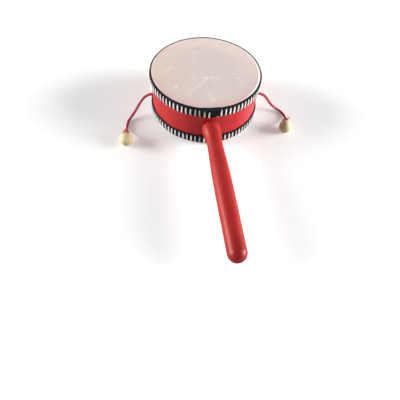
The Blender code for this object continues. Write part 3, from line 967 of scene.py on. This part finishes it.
def band_surface(foot, first, last, lap, over, lean, **_):
    """Points round the braid's section, for each angle round the drum.

    The section goes over the border from the skin or the hoop, down the band, round the
    lower edge and up the inside. The border has slanting ribs, the band has finer ones,
    and the lower edge rises and falls with the stitches."""
    angle = once_round(1620)[None, :]
    degrees = np.mod(np.degrees(angle), 360)
    phase = (angle - math.radians(first)) / math.radians((360 + last - first) / SPACES)
    outline = np.array(BORDER + over)
    steps = np.linspace(0, len(outline) - 1, 15)
    border = smooth_through(steps, np.arange(len(outline)), outline)[::-1]
    down = np.concatenate([np.linspace(7.95, 1.1, 16), (0.6, 0.3, 0.0)])
    height = np.concatenate([border[:, 0], down])[:, None]
    radius = np.concatenate([border[:, 1], band_radius(down)])[:, None]
    on_border = (np.arange(len(height)) < len(border))[:, None]

    ribs = np.cos(2 * math.pi * (RIBS * phase + height / RIB_SLANT))
    fine = np.cos(2 * math.pi * (FINE_RIBS * phase - height / FINE_SLANT))
    rise = lap_rise(angle, lap)
    lapped = rise > 0.3
    _start, fold, end = lap
    bare = step(degrees, fold, fold + 0.5) * (1 - step(degrees, end - 0.5, end))

    border_size = smooth_through(degrees, *zip(*BORDER_SIZES))
    swell = np.where(on_border, border_size * (1 + RIB_DEPTH * ribs) + 0.35 * lapped, 1.0)
    middle_height, middle_radius = BORDER_MIDDLE
    at_front = 0.5 - 0.5 * np.sin(angle)
    on_skin = lean * at_front * np.clip(middle_radius - radius, 0, 1)
    on_skin = np.where(on_border, on_skin, 0)
    radius, height = radius - 0.75 * on_skin, height + 0.42 * on_skin
    radius = np.where(on_border, middle_radius + (radius - middle_radius) * swell,
                      radius + (1 - bare) * FINE_DEPTH * fine) + rise * step(height, 9.4, 8.6)
    swollen = middle_height + (height - middle_height) * np.minimum(swell, 1.06)
    height = np.where(on_border, swollen + 0.5 * lapped, height)
    teeth = TEETH * (1 - np.cos(2 * math.pi * phase)) / 2 * (1 - bare)
    height = height + teeth * step(1.6 - height, 0.0, 1.5)
    outside = round_the_drum(radius, angle, foot + height)

    under = HOOP + 0.05 + (0.37 if over[-1][1] < HOOP else 0.0)
    inner = np.array([(0.05, 49.60), (0.6, 49.58), (4.0, 49.60), (5.0, under), (7.2, under),
                      (8.3, under - 0.25)])
    inside = round_the_drum(inner[:, 1:] + 0 * angle, angle, foot + inner[:, :1] + 0 * angle)
    return np.concatenate([outside, inside])


# %% [markdown]
# A stitch is a flat bundle of white thread. It is narrow where it comes out under the
# border, thick in the middle, and it goes round the lower edge. It follows the bulge of the
# band, so its middle line is a height and the radius that the band has there.

# %% Stitch shapes
# share of the length from the top, and half width or half thickness there
STITCH_WIDTHS = ((0, 0.18), (0.08, 0.42), (0.25, 0.64), (0.5, 0.76), (0.75, 0.80), (0.9, 0.70),
                 (1.0, 0.38))
STITCH_DEPTHS = ((0, 0.10), (0.1, 0.26), (0.35, 0.42), (0.7, 0.42), (0.92, 0.34), (1.0, 0.14))
STITCH_TOP = 8.25
LOOSE_AT, LOOSE_SPREAD = 176, 13  # where a few stitches stand off the band, in degrees
ON_BAND = 50.7  # radius that turns a sideways distance into an angle


def stitch_surfaces(foot, first, last, lapped, stub, hem, lap, seed=0, **_):
    """Points of every white stitch: (stitch, along it, round its section).

    Its middle line runs from under the border down to the edge. Its half width follows a
    leaf's outline, and its section is half an ellipse, flattened on the band's side. Width,
    length, lean and place vary a little from stitch to stitch. Near the lap they are narrower
    and greyer, partly from wear and partly as painted shade."""
    rng = np.random.default_rng(seed)
    run = first + np.arange(SPACES + 1) * (360 + last - first) / SPACES
    degrees = np.concatenate([run, lapped, [stub] if stub else []])

    def vary(spread):
        """A small chance difference for each stitch."""
        return rng.normal(0, spread, len(degrees))[:, None, None]

    share = np.linspace(0, 1, 15)[None, :, None]
    around = once_round(12)[None, None, :]
    middle = np.radians(degrees)[:, None, None]
    short = np.where(degrees == stub, 0.28, 1.0)[:, None, None]
    worn_and_shaded = step(degrees % 360, 240, 252) * (1 - step(degrees % 360, 264, 276))
    worn_and_shaded = worn_and_shaded[:, None, None] * (short == 1)
    rise = lap_rise(middle, lap)
    start = STITCH_TOP - 0.9 * (rise > 0.1) + vary(0.08)
    height = (start - hem) * short * (1 - share) + hem
    width = smooth_through(share, *zip(*STITCH_WIDTHS)) * (1 + vary(0.07))
    width = width * (1 - 0.10 * worn_and_shaded) * short**0.3 * (1 + 0.10 * np.cos(middle) ** 2)
    thick = smooth_through(share, *zip(*STITCH_DEPTHS))
    wander = 0.16 * np.sin(math.pi * share + vary(0.5)) * vary(1.0) + vary(0.05)
    across = np.cos(around) * width + wander
    proud = np.sin(around) * thick * np.where(np.sin(around) > 0, 1.0, 0.35)
    loose = np.exp(-(((np.degrees(middle) % 360 - LOOSE_AT) / LOOSE_SPREAD) ** 2))
    loose = 0.5 * loose * np.sin(math.pi * share)
    radius = band_radius(height) + rise + 0.02 + proud + loose
    # the tone greys the stitches near the lap: partly wear, partly painted shade
    values = {"across": np.cos(around), "along": share,
              "tone": vary(0.6) + worn_and_shaded * (2.7 + vary(0.8))}
    return closed_ends(round_the_drum(radius, middle + across / ON_BAND, foot + height), values)


# %% Braid finishes
def make_band_finish():
    """Black woven thread: a fine crossed weave, dusty on its crowns."""
    material, tree, shader = new_finish("braid_black_thread", 0.78, {"Specular IOR Level": 0.18})
    where = own_coordinates(tree)
    fuzz = noise(tree, where, 3200.0, 3.0, 0.6)
    weave = noise(tree, mapped(tree, where, scale=(1.0, 1.0, 0.3)), 2100.0, 2.0)
    patch = noise(tree, where, 160.0, 2.0)
    colour = coats(
        tree, (0.004, 0.005, 0.006),
        (rescale(tree, weave, 0.4, 0.65), (0.014, 0.015, 0.017)),
        (rescale(tree, patch, 0.5, 0.75, 0.0, 0.35), (0.022, 0.023, 0.023)))
    dress(tree, shader, colour, (weave, 0.00016), (fuzz, 0.00008))
    return material


def make_stitch_finish():
    """White floss: several fine threads side by side along each stitch, with painted shade at
    the ends, where they go under the border and round the lower edge.
    """
    material, tree, shader = new_finish("braid_white_thread", 0.60, {
        "Sheen Weight": 0.5, "Sheen Roughness": 0.3, "Specular IOR Level": 0.55})
    along = carried(tree, "along")
    bent = calculate(tree, "ADD", times(tree, carried(tree, "across"), 9.0),
                     times(tree, along, 2.2))
    threads = calculate(tree, "SINE", bent)
    fuzz = noise(tree, own_coordinates(tree), 2800.0, 3.0, 0.6)
    # painted shade at both ends of a stitch, where it goes under the border and round the lower
    # edge
    ends = calculate(tree, "MAXIMUM", rescale(tree, along, 0.86, 1.0),
                     rescale(tree, along, 0.12, 0.0))
    colour = coats(
        tree, (0.86, 0.86, 0.84),
        (rescale(tree, threads, -1.0, 0.6), (0.98, 0.98, 0.96)),
        # greyer stitches near the lap: partly wear, partly painted shade
        (rescale(tree, carried(tree, "tone"), 0.5, 3.2), (0.44, 0.45, 0.43)),
        (times(tree, ends, 0.5), (0.40, 0.42, 0.41)))
    dress(tree, shader, colour, (threads, 0.00005), (fuzz, 0.00007))
    return material


# %% Make the braids
band_finish, stitch_finish = make_band_finish(), make_stitch_finish()
for seed, (name, layout) in enumerate(BRAIDS.items()):
    mesh = grid_mesh(name + "_band", band_surface(**layout), True, True)
    add_piece(name + "_band", mesh, band_finish, "braided_tape", name)
    points, values = stitch_surfaces(**layout, seed=21 + seed)
    mesh = grid_mesh(name + "_stitches", points, columns_close=True, values=values)
    add_piece(name + "_stitches", mesh, stitch_finish, "braided_tape")

# %% [markdown]
# ## The handle
#
# The handle was turned on a lathe: a flat nose against the hoop, a full shoulder, a slim
# neck, a long grip that swells a little, and a round end. It is painted red with more gloss
# than the hoop. It is made as on the lathe, from a profile carried round a line, because
# then its section is round everywhere. The profile is a smooth curve through radii at a
# few distances.

# %% Handle shape
# distance from the drum's axis, and radius
GRIP = ((53.2, 7.85), (57.0, 7.86), (60.5, 7.55), (64.0, 7.12), (67.5, 6.84), (71.0, 6.66),
        (75.0, 6.66), (80.0, 6.78), (86.0, 7.00), (92.0, 7.22), (98.0, 7.42), (105.0, 7.54),
        (117.0, 7.58), (130.0, 7.52), (150.0, 7.42), (165.0, 7.34), (170.7, 7.30))
HANDLE_TIP, TIP_RADIUS = 178.0, 7.3
NOSE, NOSE_FACE = 3.5, 5.9  # length of the rounding, and radius of the flat it leaves
TENON, TENON_END = 4.0, 43.9  # radius, and where it ends in the hoop
LEAN = 1.3  # how far the tip is further aside than the shoulder


def handle_surface():
    """Points from the tip back to the tenon, carried round the handle's line.

    The end is half a ball, the nose a quarter of an ellipse, and the nose's face follows
    the hoop's curve. The handle was glued in askew, so it leans half a degree aside."""
    shoulder_at, shoulder = GRIP[0]
    end_ball = np.linspace(0, math.pi / 2, 26)
    ball = np.stack([HANDLE_TIP - TIP_RADIUS + TIP_RADIUS * np.cos(end_ball),
                     TIP_RADIUS * np.sin(end_ball)], axis=1)
    grip_at = np.linspace(GRIP[-1][0], shoulder_at, 130)[1:]
    grip = np.stack([grip_at, smooth_through(grip_at, *zip(*GRIP))], axis=1)
    turn = np.linspace(0, math.pi / 2, 14)[1:]
    nose = np.stack([shoulder_at - NOSE * np.sin(turn),
                     NOSE_FACE + (shoulder - NOSE_FACE) * np.cos(turn)], axis=1)
    tenon = np.array([(49.6, 5.6), (49.55, TENON), (TENON_END, TENON), (TENON_END, 0.0)])
    profile = np.vstack([ball, grip, nose, tenon])
    around = once_round(96)[None, :]
    off, distance = profile[:, 1:], profile[:, :1]
    across, up = off * np.cos(around), off * np.sin(around)
    distance = distance - across**2 / (2 * HOOP) * (1 - step(distance, 49.7, 53.0))
    aside = -0.75 + LEAN * (distance - 52) / 126 - 0.55 * step(distance, 63, 54)
    return np.stack(np.broadcast_arrays(across + aside, -distance, HOLES_AT + up), axis=-1)


def make_handle_finish():
    """Glossy red paint on turned wood: fine lathe rings, faint runs, small nicks, a dark
    line at the joint, and painted shade that darkens the tip."""
    material, tree, shader = new_finish("red_painted_handle", 0.42, {
        "Coat Weight": 0.05, "Coat Roughness": 0.14, "Specular IOR Level": 0.34,
        "Specular Tint": (1.0, 0.72, 0.68, 1.0)})
    where = own_coordinates(tree)
    lathe_rings = noise(tree, mapped(tree, where, scale=(0.15, 1.0, 0.15)), 1300.0)
    runs = noise(tree, mapped(tree, where, scale=(1.0, 0.12, 1.0)), 420.0, 3.0, 0.55)
    mottle = noise(tree, where, 60.0)
    nicks = rescale(tree, noise(tree, where, 520.0, 2.0, 0.4), 0.74, 0.77)
    along = part_of(tree, where, "Y")
    colour = coats(
        tree, (0.335, 0.016, 0.014),
        (rescale(tree, mottle, 0.3, 0.7), (0.365, 0.020, 0.016)),
        (rescale(tree, runs, 0.5, 0.8, 0.0, 0.12), (0.28, 0.010, 0.011)),
        (times(tree, nicks, 0.6), (0.36, 0.012, 0.014)),
        (times(tree, rescale(tree, along, -0.0512, -0.0498), 0.7), (0.20, 0.006, 0.010)),
        # painted shade: the tip is darkened
        (rescale(tree, along, -0.150, -0.174, 0.0, 0.6), (0.20, 0.008, 0.010)))
    dress(tree, shader, colour, (lathe_rings, 0.00003), (runs, 0.00003),
          roughness=rescale(tree, runs, 0.3, 0.7, 0.38, 0.48))
    return material


handle_mesh = grid_mesh("handle_turned", handle_surface(), columns_close=True)
handle_mesh.set_sharp_from_angle(angle=math.radians(50))
add_piece("handle_turned", handle_mesh, make_handle_finish(), "red_painted_handle", "handle")

# %% [markdown]
# ## Floor and light
#
# The drum lies on a plain pale floor. Two broad soft lights stand low on its left and
# right, so its sides are bright and its front is dark, as in the photograph. They are sun
# lamps with a wide disc, because their light is as strong far away as near, which keeps
# the whole floor evenly pale.

# %% Floor
FLOOR_REACH = 4.0  # metres from the drum to the floor's edges


def make_floor_finish():
    """A white floor that glows a little. It returns only part of the light to the drum."""
    material, tree, shader = new_finish("pale_floor", 0.9, {"Specular IOR Level": 0.1})
    grain = noise(tree, own_coordinates(tree), 30.0, 2.0)
    pale = coats(tree, (0.88, 0.88, 0.88), (grain, (0.90, 0.90, 0.90)))
    seen = put(tree, "LightPath").outputs["Is Camera Ray"]
    tree.links.new(coats(tree, (0.34, 0.34, 0.34), (seen, pale)), shader.inputs["Base Color"])
    shader.inputs["Emission Color"].default_value = (1.0, 1.0, 1.0, 1.0)
    tree.links.new(times(tree, seen, 0.22), shader.inputs["Emission Strength"])
    return material


floor_corners = [(x * FLOOR_REACH, y * FLOOR_REACH, 0.0)
                 for x, y in ((-1, -1), (1, -1), (1, 1), (-1, 1))]
floor_mesh = bpy.data.meshes.new("floor")
floor_mesh.from_pydata(floor_corners, [], [(0, 1, 2, 3)])
floor_mesh.materials.append(make_floor_finish())
floor = bpy.data.objects.new("floor", floor_mesh)
bpy.context.scene.collection.objects.link(floor)
print("floor:", 2 * FLOOR_REACH, "m square")

# %% Lights
# name, azimuth and elevation of where the light comes from, strength, width of the disc
SUNS = (
    ("right_softbox", -8.0, 8.5, 9.7, 42.0),
    ("left_softbox", 172.0, 8.5, 7.7, 42.0),
    ("back_softbox", 92.0, 30.0, 0.35, 60.0),
    ("front_left_glint", 225.0, 22.0, 0.03, 3.0),
    ("front_right_glint", 300.0, 22.0, 0.09, 3.0),
)

for name, azimuth, elevation, strength, disc in SUNS:
    sun = bpy.data.lights.new(name, "SUN")
    sun.energy = strength
    sun.angle = math.radians(disc)
    lamp = bpy.data.objects.new(name, sun)
    bpy.context.scene.collection.objects.link(lamp)
    lamp.rotation_euler = (math.radians(90 - elevation), 0.0, math.radians(azimuth + 90))
    print(f"{name}: strength {strength}")


def make_world():
    """Dim all round, darker overhead, so that glossy paint has something dark to mirror.
    Seen straight from the camera it is pale."""
    world = bpy.data.worlds.new("studio")
    world.use_nodes = True
    tree = world.node_tree
    sky = tree.nodes["Background"]
    up = part_of(tree, put(tree, "TexCoord").outputs["Generated"], "Z")
    glow = rescale(tree, up, 0.0, 0.8, 0.16, 0.04)
    seen = put(tree, "LightPath").outputs["Is Camera Ray"]
    level = put(tree, "Mix", {0: seen, 2: glow, 3: 0.9}, data_type="FLOAT").outputs[0]
    sky.inputs["Color"].default_value = (1.0, 1.0, 1.0, 1.0)
    tree.links.new(level, sky.inputs["Strength"])
    bpy.context.scene.world = world


make_world()
bpy.context.scene.view_settings.view_transform = "Standard"
